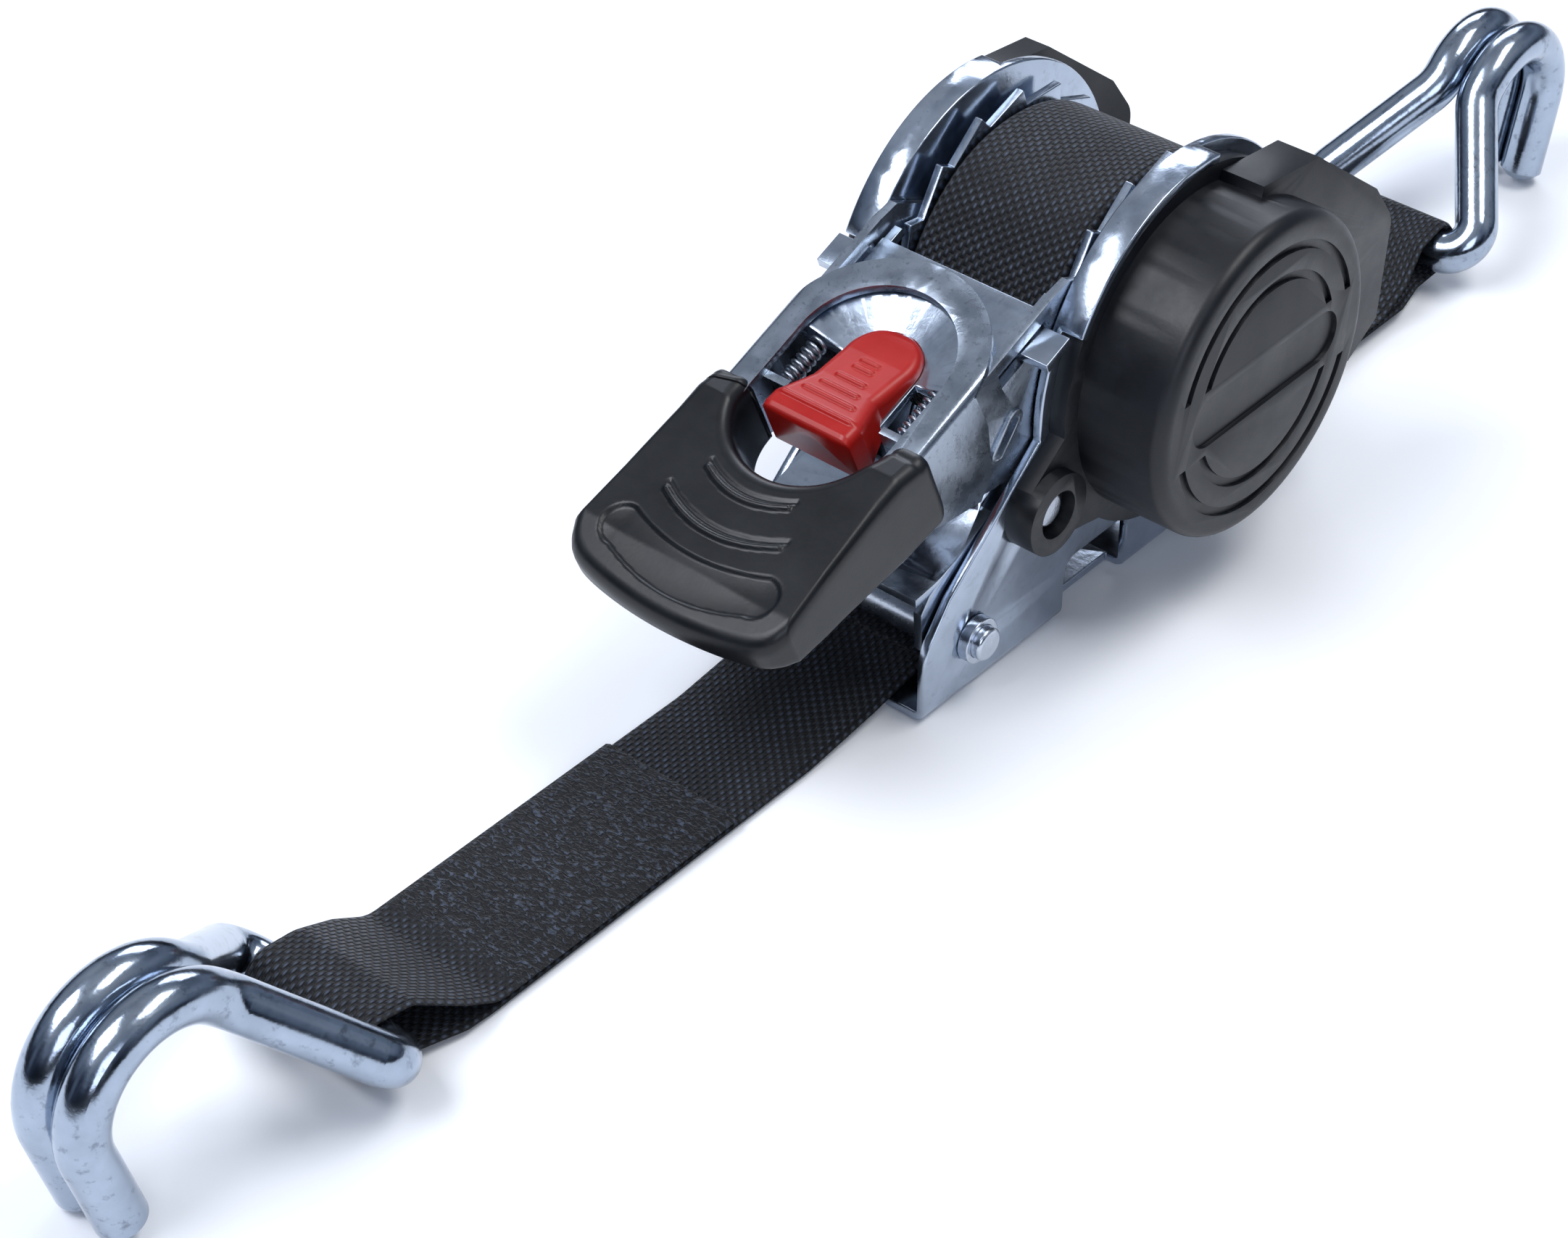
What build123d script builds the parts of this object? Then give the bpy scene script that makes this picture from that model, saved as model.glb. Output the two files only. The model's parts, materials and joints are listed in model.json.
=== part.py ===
"""Retractable ratchet tie down, 25 mm webbing, built as an assembly of separate pieces.

Frame: +Z up, the axle runs along Y, the pull-out end points to -X.
The origin is under the axle, at the underside of the steel channel. Millimetres.
The tensioning handle has its own directions: u runs from the axle along the handle, away from
the drum, and w stands square to it, out through the handle's top plate.
"""
from build123d import *
import os
from math import cos, radians, sin, sqrt, tan

os.makedirs("parts", exist_ok=True)

# ---------------------------------------------------------------- driving dimensions
strap_width = 25.0
strap_thickness = 1.0
axle_height = 39.2

# stack from the middle of the drum outwards
wheel_gap = 0.3            # webbing edge to ratchet wheel
wheel_thickness = 1.4
arm_gap = 0.6              # wheel to handle arm
arm_thickness = 1.4
wall_gap = 0.2             # handle arm to channel wall
wall_thickness = 1.5
running = 0.05             # radial clearance of everything that turns on a pin
soft_gap = 0.3             # between webbing and what it runs past

# drum
axle_radius = 6.0
axle_slot = 1.3            # gap between the two halves of the axle, where the webbing is gripped
roll_radius = 27.0
wheel_tip_radius = 28.0
wheel_root_radius = 25.4
wheel_teeth = 18
arbor_radius = 5.0
arbor_length = 11.0
tooth_gap = 0.6            # pawl noses to the circle of the tooth tips

# channel
front_x = -55.3
rear_x = 37.0
arc_radius = 30.5
lip_width = 3.6            # the rolled edge of the cheek stands out by this much
lip_start_angle = 82.0
lip_end_angle = 152.0
window_start = -22.5
window_end = -7.0
window_height = 10.5
bush_radius = 7.5
bush_flange_radius = 9.0
bush_flange = 1.2

# pins across the channel
front_pin_x = -44.5
front_pin_z = 9.8
front_pin_radius = 3.0
sleeve_radius = 4.0
pin_tip_radius = 2.6
pin_collar_radius = 3.6
pin_collar_width = 1.8
pin_tip_length = 3.3
rear_pin_x = 30.0
rear_pin_z = 8.6
rear_pin_radius = 3.0
rear_pin_head_radius = 4.4
rear_pin_head = 1.3

# covers
cover_radius = 25.5
cover_wall = 2.0
cover_flange_radius = 28.4
cover_flange = 2.7
near_cover_depth = 17.3
far_cover_depth = 7.0
tail_clearance = 2.9       # the tails stand off the cheek, so that the pawl's ears pass inside
near_tail_depth = 10.1
far_tail_depth = 7.4
lug_x = -31.5
lug_z = 26.5
lug_radius = 6.5
lug_depth = 4.7
rivet_radius = 1.6
rivet_head_radius = 2.65
rivet_head = 0.9
rivet_recess_radius = 3.8
rivet_recess = 2.4
face_slot_length = 36.0
face_slot_width = 8.6
groove_radii = (21.4, 16.8)
groove_width = 1.4
groove_depth = 0.7

# power spring
case_clearance = 0.6
case_wall = 0.6
spring_strip = 0.45
spring_width = 8.0
spring_turns = 8

# handle
handle_slope = 22.0        # how far the handle hangs below level at rest
plate_top = 29.3           # w of the top plate's upper face
plate_half_width = 17.0
arch_u = 38.5
arch_radius = 17.0
opening_half = 12.5
opening_start = 38.9
opening_end = 50.4
plate_end = 70.0
flange_end = 58.0
emboss = 0.5               # raised oblong on each arm
emboss_u = 33.6
emboss_w = 14.6
emboss_length = 8.6
emboss_width = 3.4
emboss_turn = -29.0
bend_radius = 1.1
eye_radius = 8.5
grip_start = 51.0
grip_end = 87.5
grip_half_width = 19.3
grip_top = 31.3
grip_cut_radius = 12.4
grip_corner = 5.0

# pawl in the handle
pawl_bottom = 23.6
pawl_thickness = 1.6
pawl_travel = 4.5
pawl_half_width = 14.4
ear_start = 21.0
ear_end = 26.5
ear_reach = 2.9            # how far the ears stand out past the channel wall
ear_slot_gap = 0.5
pawl_rear = 37.9
dish_height = 2.2          # the plate is dished round the tab's head
dish_rim = 13.6
dish_mouth = 12.6
dish_floor = 7.4
tongue_half = 6.2
tongue_end = 47.0
tab_start = 31.5
tab_head_half = 6.0
tab_block_half = 7.8
tab_block_start = 46.0
tab_end = 53.0
pawl_spring_y = 10.6
pawl_spring_radius = 2.2
pawl_spring_wire = 0.6
pawl_spring_coils = 7
spring_seat_u = 47.0
spring_seat = 1.2

# lock pawl on the front pin
cheek_gap = 0.3
cheek_thickness = 1.4
cheek_radius = 7.9
lock_plate = 1.4
lock_wire = 0.6

# webbing and end hooks
loop_gap = soft_gap
hook_wire_radius = 3.6
hook_bar_half = 18.0
hook_gap = 3.7             # half the distance between the two legs' centre lines
hook_merge = 26.0
hook_shank = 28.8
hook_bend_radius = 12.4
hook_turn = 148.5
hook_tip = 14.1
hook_bar_corner = 4.4
hook_merge_radius = 9.0
hook_lean = 44.4
bar_height = 6.6
pull_bar_x = -155.5
far_bar_x = 91.0
lead_end_x = -48.0
floor_run_start = -74.0
floor_run_end = -138.0
stitch_start = 22.0
stitch_pitch = 4.0
pull_rows = 11
short_rows = 3
stitch_width = 0.7
eye_half = 10.8             # the webbing is drawn in to this half width where it turns round a hook's bar
eye_gather = 12.0
stitch_height = 0.25

# ---------------------------------------------------------------- worked out from the above
roll_half = strap_width / 2
wheel_in = roll_half + wheel_gap
wheel_out = wheel_in + wheel_thickness
arm_in = wheel_out + arm_gap
arm_out = arm_in + arm_thickness
wall_in = arm_out + wall_gap
wall_out = wall_in + wall_thickness
pawl_top = pawl_bottom + pawl_thickness
plate_under = plate_top - arm_thickness
nose_radius = wheel_tip_radius + tooth_gap
axle = (0, axle_height)
slope = radians(handle_slope)
along = Vector(-cos(slope), 0, -sin(slope))
square = Vector(-sin(slope), 0, cos(slope))


def side(y):
    """Plane square to the axle at y: local x is +X, local y is +Z, and it extrudes to -Y."""
    return Plane.XZ.offset(-y)


def handle_side(y):
    """Plane square to the axle at y, with local x along u and local y along w; extrudes to +Y."""
    return Plane(origin=(0, y, axle_height), x_dir=along, z_dir=(0, 1, 0))


def handle_top(w):
    """Plane level with the handle's plate at height w: local x is u, and it extrudes along +w."""
    return Plane(origin=Vector(0, 0, axle_height) + square * w, x_dir=along, z_dir=square)


def save(part, name):
    part.label = name
    export_step(part, f"parts/{name}.step")


# ================================================================ channel
with BuildPart() as frame:
    with BuildSketch(Plane.YZ.offset(front_x - 1)):
        with Locations((0, axle_height)):
            Rectangle(2 * wall_out, 2 * axle_height)
        fillet(vertices().group_by(Axis.Y)[0], wall_thickness + 0.6)
        with Locations((0, axle_height + wall_thickness)):
            Rectangle(2 * wall_in, 2 * axle_height, mode=Mode.SUBTRACT)
    extrude(amount=rear_x - front_x + 2)
    with BuildSketch(side(wall_out + 1)):
        with BuildLine():
            Polyline((front_x, -1), (front_x, 12.5), (-50.0, 19.5), (-29.9, 36.8), (-25, 48), (0, 50),
                     (26, 46), (rear_x, 20), (rear_x, -1), close=True)
        make_face()
        fillet(vertices().group_by(Axis.X)[0].sort_by(Axis.Y)[-1], 7)
        with Locations(axle):
            Circle(arc_radius)
    extrude(amount=2 * wall_out + 2, mode=Mode.INTERSECT)
    for outer in (wall_out, -wall_out):
        with BuildSketch(side(outer + (lip_width if outer > 0 else 0))):
            with Locations(axle):
                Circle(arc_radius)
                Circle(arc_radius - wall_thickness, mode=Mode.SUBTRACT)
            with BuildLine():
                reach = 2 * arc_radius
                Polyline(axle, (reach * cos(radians(lip_start_angle)),
                                axle_height + reach * sin(radians(lip_start_angle))),
                         (reach * cos(radians(lip_end_angle)),
                          axle_height + reach * sin(radians(lip_end_angle))), close=True)
            make_face(mode=Mode.INTERSECT)
        extrude(amount=lip_width)
    for start in (-wall_out - 2, wall_in - 2):
        with BuildSketch(side(start + wall_thickness + 4)):
            with Locations(((window_start + window_end) / 2, window_height / 2 - 1)):
                Rectangle(window_end - window_start, window_height + 2)
            fillet(vertices().group_by(Axis.Y)[-1], 2.5)
        extrude(amount=wall_thickness + 4, mode=Mode.SUBTRACT)
    with BuildSketch(side(wall_out + 1)):
        with Locations(axle):
            Circle(bush_radius)
        with Locations((front_pin_x, front_pin_z)):
            Circle(front_pin_radius)
        with Locations((rear_pin_x, rear_pin_z)):
            Circle(rear_pin_radius)
        with Locations((lug_x, lug_z)):
            Circle(rivet_radius)
    extrude(amount=2 * wall_out + 2, mode=Mode.SUBTRACT)
save(frame.part, "frame")

# ================================================================ bushes for the axle
for sign, name in ((-1, "axle_bush_near"), (1, "axle_bush_far")):
    with BuildPart() as bush:
        with BuildSketch(Plane.XZ):
            with Locations(axle):
                Circle(bush_radius)
        extrude(until=None, amount=wall_out)
        with BuildSketch(Plane.XZ.offset(wall_out)):
            with Locations(axle):
                Circle(bush_flange_radius)
        extrude(amount=bush_flange)
        with BuildSketch(Plane.XZ):
            with Locations(axle):
                Rectangle(4 * bush_radius, 4 * bush_radius)
        extrude(amount=wall_in, mode=Mode.SUBTRACT)
        with BuildSketch(Plane.XZ):
            with Locations(axle):
                Circle(axle_radius + running)
        extrude(amount=wall_out + bush_flange, mode=Mode.SUBTRACT)
    piece = bush.part if sign < 0 else bush.part.mirror(Plane.XZ)
    save(piece, name)

# ================================================================ front guide pin, sleeve, rings
pin_step = wall_out + pin_collar_width
with BuildPart() as front_pin:
    for radius, half in ((front_pin_radius, wall_out), (pin_tip_radius, wall_out + pin_tip_length)):
        with BuildSketch(Plane.XZ):
            with Locations((front_pin_x, front_pin_z)):
                Circle(radius)
        extrude(amount=half, both=True)
    chamfer(faces().filter_by(Axis.Y).sort_by(Axis.Y)[0].edges(), 0.4)
    chamfer(faces().filter_by(Axis.Y).sort_by(Axis.Y)[-1].edges(), 0.4)
save(front_pin.part, "front_pin")

with BuildPart() as pin_rings:
    for start in (wall_out, -wall_out - pin_collar_width):
        with BuildSketch(side(start + pin_collar_width)):
            with Locations((front_pin_x, front_pin_z)):
                Circle(pin_collar_radius)
                Circle(pin_tip_radius, mode=Mode.SUBTRACT)
        extrude(amount=pin_collar_width)
save(pin_rings.part, "pin_rings")

with BuildPart() as pin_sleeve:
    with BuildSketch(Plane.XZ):
        with Locations((front_pin_x, front_pin_z)):
            Circle(sleeve_radius)
            Circle(front_pin_radius + running, mode=Mode.SUBTRACT)
    extrude(amount=roll_half + 0.4, both=True)
save(pin_sleeve.part, "pin_sleeve")

# ================================================================ rear anchor pin
with BuildPart() as rear_pin:
    with BuildSketch(Plane.XZ):
        with Locations((rear_pin_x, rear_pin_z)):
            Circle(rear_pin_radius)
    extrude(amount=wall_out, both=True)
    for start in (wall_out, -wall_out - rear_pin_head):
        with BuildSketch(side(start + rear_pin_head)):
            with Locations((rear_pin_x, rear_pin_z)):
                Circle(rear_pin_head_radius)
        extrude(amount=rear_pin_head)
    fillet(faces().filter_by(Axis.Y).sort_by(Axis.Y)[0].edges(), 0.6)
    fillet(faces().filter_by(Axis.Y).sort_by(Axis.Y)[-1].edges(), 0.6)
save(rear_pin.part, "rear_pin")


# ================================================================ plastic covers
tail_corners = ((6, axle_height + 26.5), (20, axle_height + 25.0), (37.5, axle_height + 11.5),
                (43, axle_height + 4), (42, 25.5), (35, 21.0), (18, 26), (0, axle_height))


def cover(depth, tail_depth, with_face):
    """One cover on the -Y side: flange, round drum, lug with a rivet recess, tail, hollow inside."""
    with BuildPart() as shell:
        with BuildSketch(Plane.XZ.offset(wall_out)):
            with Locations(axle):
                Circle(cover_flange_radius)
            with Locations((lug_x, lug_z)):
                Circle(lug_radius)
            with BuildLine():
                Polyline((lug_x - 4.2, lug_z + 5), (-24.5, 40), (-10, 40), (-8, 15.6), (lug_x + 1, lug_z - 6.4),
                         close=True)
            make_face()
        extrude(amount=cover_flange)
        with BuildSketch(Plane.XZ.offset(wall_out)):
            with Locations((lug_x, lug_z)):
                Circle(lug_radius)
        extrude(amount=lug_depth)
        with BuildSketch(Plane.XZ.offset(wall_out)):
            with Locations(axle):
                Circle(cover_radius)
        extrude(amount=depth)
        fillet(faces().filter_by(Axis.Y).sort_by(Axis.Y)[0].edges(), 2.2)
        with BuildSketch(Plane.XZ.offset(wall_out + tail_clearance)):
            with BuildLine():
                Polyline(*tail_corners, close=True)
            make_face()
            fillet(vertices().group_by(Axis.X)[-1], 5)
        extrude(amount=tail_depth - tail_clearance)
        with BuildSketch(Plane.XZ.offset(wall_out)):
            with Locations(axle):
                Circle(cover_radius - cover_wall)
        extrude(amount=depth - cover_wall, mode=Mode.SUBTRACT)
        with BuildSketch(Plane.XZ.offset(wall_out)):
            with Locations((lug_x, lug_z)):
                Circle(rivet_radius)
        extrude(amount=lug_depth, mode=Mode.SUBTRACT)
        with BuildSketch(Plane.XZ.offset(wall_out + lug_depth - rivet_recess)):
            with Locations((lug_x, lug_z)):
                Circle(rivet_recess_radius)
        extrude(amount=rivet_recess, mode=Mode.SUBTRACT)
        if with_face:
            with BuildSketch(Plane.XZ.offset(wall_out + depth - groove_depth)):
                for radius in groove_radii:
                    with Locations(axle):
                        Circle(radius)
                        Circle(radius - groove_width, mode=Mode.SUBTRACT)
                with Locations(axle):
                    Rectangle(2 * cover_radius, face_slot_width + 2 * groove_width, mode=Mode.SUBTRACT)
                    SlotOverall(face_slot_length, face_slot_width)
            extrude(amount=groove_depth, mode=Mode.SUBTRACT)
    return shell.part


save(cover(near_cover_depth, near_tail_depth, True), "near_cover")
save(cover(far_cover_depth, far_tail_depth, False).mirror(Plane.XZ), "far_cover")

with BuildPart() as rivet:
    with BuildSketch(Plane.XZ.offset(wall_in)):
        with Locations((lug_x, lug_z)):
            Circle(rivet_radius)
    extrude(amount=wall_thickness + lug_depth - rivet_recess)
    with BuildSketch(Plane.XZ.offset(wall_out + lug_depth - rivet_recess)):
        with Locations((lug_x, lug_z)):
            Circle(rivet_head_radius)
    extrude(amount=rivet_head)
    fillet(faces().filter_by(Axis.Y).sort_by(Axis.Y)[0].edges(), 0.4)
save(rivet.part, "cover_rivet_near")
save(rivet.part.mirror(Plane.XZ), "cover_rivet_far")

# ================================================================ drum
axle_end = wall_out + bush_flange + 1.0
for sign, name in ((1, "axle_half_upper"), (-1, "axle_half_lower")):
    with BuildPart() as half:
        with BuildSketch(Plane.XZ):
            with Locations(axle):
                Circle(axle_radius)
                with Locations((0, -sign * (2 * axle_radius - axle_slot / 2))):
                    Rectangle(4 * axle_radius, 4 * axle_radius, mode=Mode.SUBTRACT)
        extrude(amount=axle_end, both=True)
    save(half.part, name)

tooth_step = 360 / wheel_teeth


def tooth_corners():
    """Outline of the saw-toothed disc: each tooth has a steep face and a long back."""
    corners = []
    for tooth in range(wheel_teeth):
        start = radians(tooth * tooth_step)
        rise = radians(tooth * tooth_step + 0.16 * tooth_step)
        corners.append((wheel_root_radius * cos(start), axle_height + wheel_root_radius * sin(start)))
        corners.append((wheel_tip_radius * cos(rise), axle_height + wheel_tip_radius * sin(rise)))
    return corners


for start, name in ((-wheel_in, "ratchet_wheel_near"), (wheel_out, "ratchet_wheel_far")):
    with BuildPart() as wheel:
        with BuildSketch(side(start)):
            with BuildLine():
                Polyline(*tooth_corners(), close=True)
            make_face()
            with Locations(axle):
                Circle(axle_radius, mode=Mode.SUBTRACT)
        extrude(amount=wheel_thickness)
    save(wheel.part, name)

with BuildPart() as webbing_roll:
    with BuildSketch(Plane.XZ):
        with Locations(axle):
            Circle(roll_radius)
            Circle(axle_radius, mode=Mode.SUBTRACT)
    extrude(amount=roll_half, both=True)
save(webbing_roll.part, "webbing_roll")

with BuildPart() as webbing_tuck:
    with BuildSketch(Plane.XZ):
        with Locations(axle):
            Rectangle(2 * axle_radius - 1, strap_thickness)
    extrude(amount=roll_half, both=True)
save(webbing_tuck.part, "webbing_tuck")

with BuildPart() as spring_arbor:
    with BuildSketch(Plane.XZ.offset(axle_end)):
        with Locations(axle):
            Circle(arbor_radius)
    extrude(amount=arbor_length)
    with BuildSketch(Plane.XZ.offset(wall_out - 4)):
        with Locations(axle):
            Rectangle(2 * axle_radius - 2, axle_slot - 2 * running)
    extrude(amount=axle_end - wall_out + 4)
save(spring_arbor.part, "spring_arbor")

# ================================================================ power spring and its case
case_outer = cover_radius - cover_wall - case_clearance
case_start = axle_end + 0.6
case_depth = spring_width + 1.6
with BuildPart() as spring_case:
    with BuildSketch(Plane.XZ.offset(case_start)):
        with Locations(axle):
            Circle(case_outer)
            Circle(case_outer - case_wall, mode=Mode.SUBTRACT)
    extrude(amount=case_depth)
    with BuildSketch(Plane.XZ.offset(case_start + case_depth)):
        with Locations(axle):
            Circle(case_outer)
            Circle(arbor_radius + 1.0, mode=Mode.SUBTRACT)
    extrude(amount=case_wall)
save(spring_case.part, "spring_case")

# flat strip wound from the arbor to the wall of the case, as half-turn arcs of growing radius
spring_inner = arbor_radius + 0.3
spring_outer = case_outer - case_wall - 0.4
half_turns = 2 * spring_turns
radius_step = (spring_outer - spring_strip - spring_inner) / half_turns
with BuildPart() as power_spring:
    with BuildSketch(Plane.XZ.offset(case_start + 0.8)):
        with BuildLine():
            for edge_offset in (0.0, spring_strip):
                point = spring_inner + edge_offset
                heading = 1
                for turn in range(half_turns):
                    next_point = point + radius_step
                    top = (point + next_point) / 2
                    mid = heading * (point - next_point) / 2
                    ThreePointArc((heading * point, axle_height), (mid, axle_height + heading * top),
                                  (-heading * next_point, axle_height))
                    point = next_point
                    heading = -heading
            Line((spring_inner, axle_height), (spring_inner + spring_strip, axle_height))
            Line((point - spring_strip, axle_height), (point, axle_height))
        make_face()
    extrude(amount=spring_width)
save(power_spring.part, "power_spring")

# ================================================================ tensioning handle
with BuildPart() as handle:
    with BuildSketch(handle_top(plate_under)):
        with Locations((arch_u, 0)):
            Circle(arch_radius)
        with Locations(((arch_u + plate_end) / 2, 0)):
            Rectangle(plate_end - arch_u, 2 * plate_half_width)
        for end in (opening_start, opening_end):
            with Locations((end, 0)):
                Circle(opening_half, mode=Mode.SUBTRACT)
        with Locations(((opening_start + opening_end) / 2, 0)):
            Rectangle(opening_end - opening_start, 2 * opening_half, mode=Mode.SUBTRACT)
    extrude(amount=arm_thickness)
    for outer, depth in ((-plate_half_width, arm_thickness), (plate_half_width - arm_thickness, arm_thickness)):
        with BuildSketch(handle_side(outer)):
            with BuildLine():
                Polyline((arch_u, plate_top), (flange_end, plate_top), (flange_end, 18.5), (49, 13.2), (42, 9.6),
                         (38.5, 12.0), (36.5, 21.0), (37.0, plate_under), close=True)
            make_face()
        extrude(amount=depth)
    for inner in (-arm_out, arm_in):
        with BuildSketch(handle_side(inner)):
            with BuildLine():
                Polyline((-6.4, 5.6), (14.0, 27.4), (18.0, plate_under), (43.0, plate_under), (43.0, 10.2),
                         (42, 9.6), (33.0, 5.2), (5.0, -6.9), close=True)
            make_face()
            Circle(eye_radius)
            Circle(axle_radius + running, mode=Mode.SUBTRACT)
            slot_low = pawl_bottom - ear_slot_gap
            slot_high = pawl_top + ear_slot_gap
            slot_start = ear_start - ear_slot_gap
            slot_end = ear_end + pawl_travel + ear_slot_gap
            with Locations(((slot_start + slot_end) / 2, (slot_low + slot_high) / 2)):
                Rectangle(slot_end - slot_start, slot_high - slot_low, mode=Mode.SUBTRACT)
        extrude(amount=arm_thickness)
    for outer in (-arm_out - emboss, arm_out):
        with BuildSketch(handle_side(outer)):
            with Locations((emboss_u, emboss_w)):
                SlotOverall(emboss_length, emboss_width, rotation=emboss_turn)
        extrude(amount=emboss)
    for outer in (-arm_out - emboss, arm_out - 0.5):
        with BuildSketch(handle_side(outer)):
            with Locations((emboss_u, emboss_w)):
                SlotOverall(emboss_length - 1.8, emboss_width - 1.8, rotation=emboss_turn)
        extrude(amount=emboss + 0.5, mode=Mode.SUBTRACT)
    seat_inner = tab_block_half + 0.6
    seat_low = pawl_bottom - 1.6
    for inner in (-arm_in, seat_inner):
        with BuildSketch(handle_side(inner)):
            with Locations((spring_seat_u + spring_seat / 2, (seat_low + plate_under) / 2)):
                Rectangle(spring_seat, plate_under - seat_low)
        extrude(amount=arm_in - seat_inner)
    top_edges = edges().filter_by(lambda edge: abs((edge.center() - Vector(0, 0, axle_height)).dot(square)
                                                   - plate_top) < 0.01)
    long_edges = top_edges.filter_by(lambda edge: abs(abs(edge.center().Y) - plate_half_width) < 0.01)
    fillet(long_edges, bend_radius)
save(handle.part, "handle_frame")

with BuildPart() as grip:
    with BuildSketch(handle_top(plate_top - 20)):
        with BuildLine():
            Polyline((grip_start, -grip_half_width), (grip_end, -grip_half_width + 0.6),
                     (grip_end, grip_half_width - 0.6), (grip_start, grip_half_width), close=True)
        make_face()
        fillet(vertices().group_by(Axis.X)[-1], grip_corner)
        with Locations((opening_end, 0)):
            Circle(grip_cut_radius, mode=Mode.SUBTRACT)
    extrude(amount=30)
    with BuildSketch(handle_side(-grip_half_width - 1)):
        with BuildLine():
            Polyline((grip_start, grip_top - 1.4), (grip_start + 4, grip_top), (grip_end - 8, grip_top),
                     (grip_end, grip_top - 2.2), (grip_end, 25.4), (grip_end - 2, 24.6), (76, 21.6),
                     (flange_end + 1, 17.2), (grip_start, 16.4), close=True)
        make_face()
    extrude(amount=2 * grip_half_width + 2, mode=Mode.INTERSECT)
    with BuildSketch(handle_side(-arm_in)):
        with BuildLine():
            Polyline((grip_start - 1, 10), (74, 10), (74, plate_under - 1.5), (grip_start - 1, plate_under - 1.5),
                     close=True)
        make_face()
    extrude(amount=2 * arm_in, mode=Mode.SUBTRACT)
    add(handle.part, mode=Mode.SUBTRACT)
save(grip.part, "handle_grip")

# ================================================================ spring-loaded pawl in the handle
ear_half = wall_out + ear_reach
nose_u = sqrt(nose_radius ** 2 - pawl_bottom ** 2)
with BuildPart() as tab_rivet:
    with BuildSketch(handle_top(pawl_bottom - 0.9)):
        with Locations((pawl_rear + 4.5, 0)):
            Circle(2.6)
    extrude(amount=0.9)
    with BuildSketch(handle_top(pawl_bottom)):
        with Locations((pawl_rear + 4.5, 0)):
            Circle(1.5)
    extrude(amount=pawl_thickness + 1.6)
save(tab_rivet.part, "tab_rivet")

with BuildPart() as pawl_plate:
    with BuildSketch(handle_top(pawl_bottom)):
        body_start = ear_start - 2.2
        with Locations(((body_start + pawl_rear) / 2, 0)):
            Rectangle(pawl_rear - body_start, 2 * pawl_half_width)
        with Locations(((ear_start + ear_end) / 2, 0)):
            Rectangle(ear_end - ear_start, 2 * ear_half)
        with Locations(((pawl_rear + tongue_end) / 2, 0)):
            Rectangle(tongue_end - pawl_rear, 2 * tongue_half)
        for blade_y in (-(wheel_in + wheel_out) / 2, (wheel_in + wheel_out) / 2):
            with Locations(((nose_u + body_start) / 2, blade_y)):
                Rectangle(body_start - nose_u, wheel_thickness)
    extrude(amount=pawl_thickness)
    with BuildSketch(handle_top(pawl_top)):
        for hook_y in (-pawl_spring_y, pawl_spring_y):
            with Locations((pawl_rear - spring_seat / 2, hook_y)):
                Rectangle(spring_seat, 2 * pawl_spring_radius)
    extrude(amount=dish_height)
    with BuildSketch(handle_top(pawl_top)):
        with Locations((arch_u, 0)):
            Circle(dish_rim)
        with Locations((pawl_rear + dish_rim, 0)):
            Rectangle(2 * dish_rim, 2 * dish_rim, mode=Mode.SUBTRACT)
    extrude(amount=dish_height)
    with Locations(handle_top(pawl_top + dish_height / 2)):
        with Locations((arch_u, 0, 0)):
            Cone(dish_floor, dish_mouth, dish_height, mode=Mode.SUBTRACT)
    add(tab_rivet.part, mode=Mode.SUBTRACT)
save(pawl_plate.part, "pawl_plate")

with BuildPart() as release_tab:
    with BuildSketch(handle_side(-tab_block_half)):
        with BuildLine():
            Polyline((tab_start, pawl_top), (tab_start, pawl_top + 1.4), (tab_start + 3, pawl_top + 2.4),
                     (tab_block_start, 31.2), (tab_end - 1, 31.6), (tab_end, 30.6), (tab_end + 0.4, 22.6),
                     (tab_block_start, 22.6), (tab_block_start, pawl_top), close=True)
        make_face()
    extrude(amount=2 * tab_block_half)
    with BuildSketch(handle_top(20)):
        with Locations((tab_start + tab_head_half, 0)):
            Circle(tab_head_half)
        with BuildLine():
            Polyline((tab_start + tab_head_half, -tab_head_half), (tab_block_start - 3, -tab_head_half),
                     (tab_block_start, -tab_block_half), (tab_end + 1, -tab_block_half),
                     (tab_end + 1, tab_block_half), (tab_block_start, tab_block_half),
                     (tab_block_start - 3, tab_head_half), (tab_start + tab_head_half, tab_head_half), close=True)
        make_face()
    extrude(amount=14, mode=Mode.INTERSECT)
    add(pawl_plate.part, mode=Mode.SUBTRACT)
    add(tab_rivet.part, mode=Mode.SUBTRACT)
save(release_tab.part, "release_tab")

# compression springs between the plate's two upstands and the handle's folded seats
spring_from = pawl_rear + 0.2
spring_to = spring_seat_u - 0.2
spring_axis_w = pawl_bottom + 1.8
coil_pitch = (spring_to - spring_from - pawl_spring_wire) / (pawl_spring_coils - 1)
with BuildPart() as pawl_springs:
    for spring_y in (-pawl_spring_y, pawl_spring_y):
        for coil in range(pawl_spring_coils):
            coil_u = spring_from + pawl_spring_wire / 2 + coil * coil_pitch
            middle = Vector(0, spring_y, axle_height) + along * coil_u + square * spring_axis_w
            with BuildSketch(Plane(origin=middle, x_dir=(0, 1, 0), z_dir=along)):
                Circle(pawl_spring_radius)
                Circle(pawl_spring_radius - pawl_spring_wire, mode=Mode.SUBTRACT)
            extrude(amount=pawl_spring_wire / 2, both=True)
        bar = Vector(0, spring_y, axle_height) + along * spring_from + square * (
            spring_axis_w + pawl_spring_radius - pawl_spring_wire / 2)
        with BuildSketch(Plane(origin=bar, x_dir=(0, 1, 0), z_dir=along)):
            Rectangle(pawl_spring_wire, pawl_spring_wire)
        extrude(amount=spring_to - spring_from)
save(pawl_springs.part, "pawl_springs")

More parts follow.
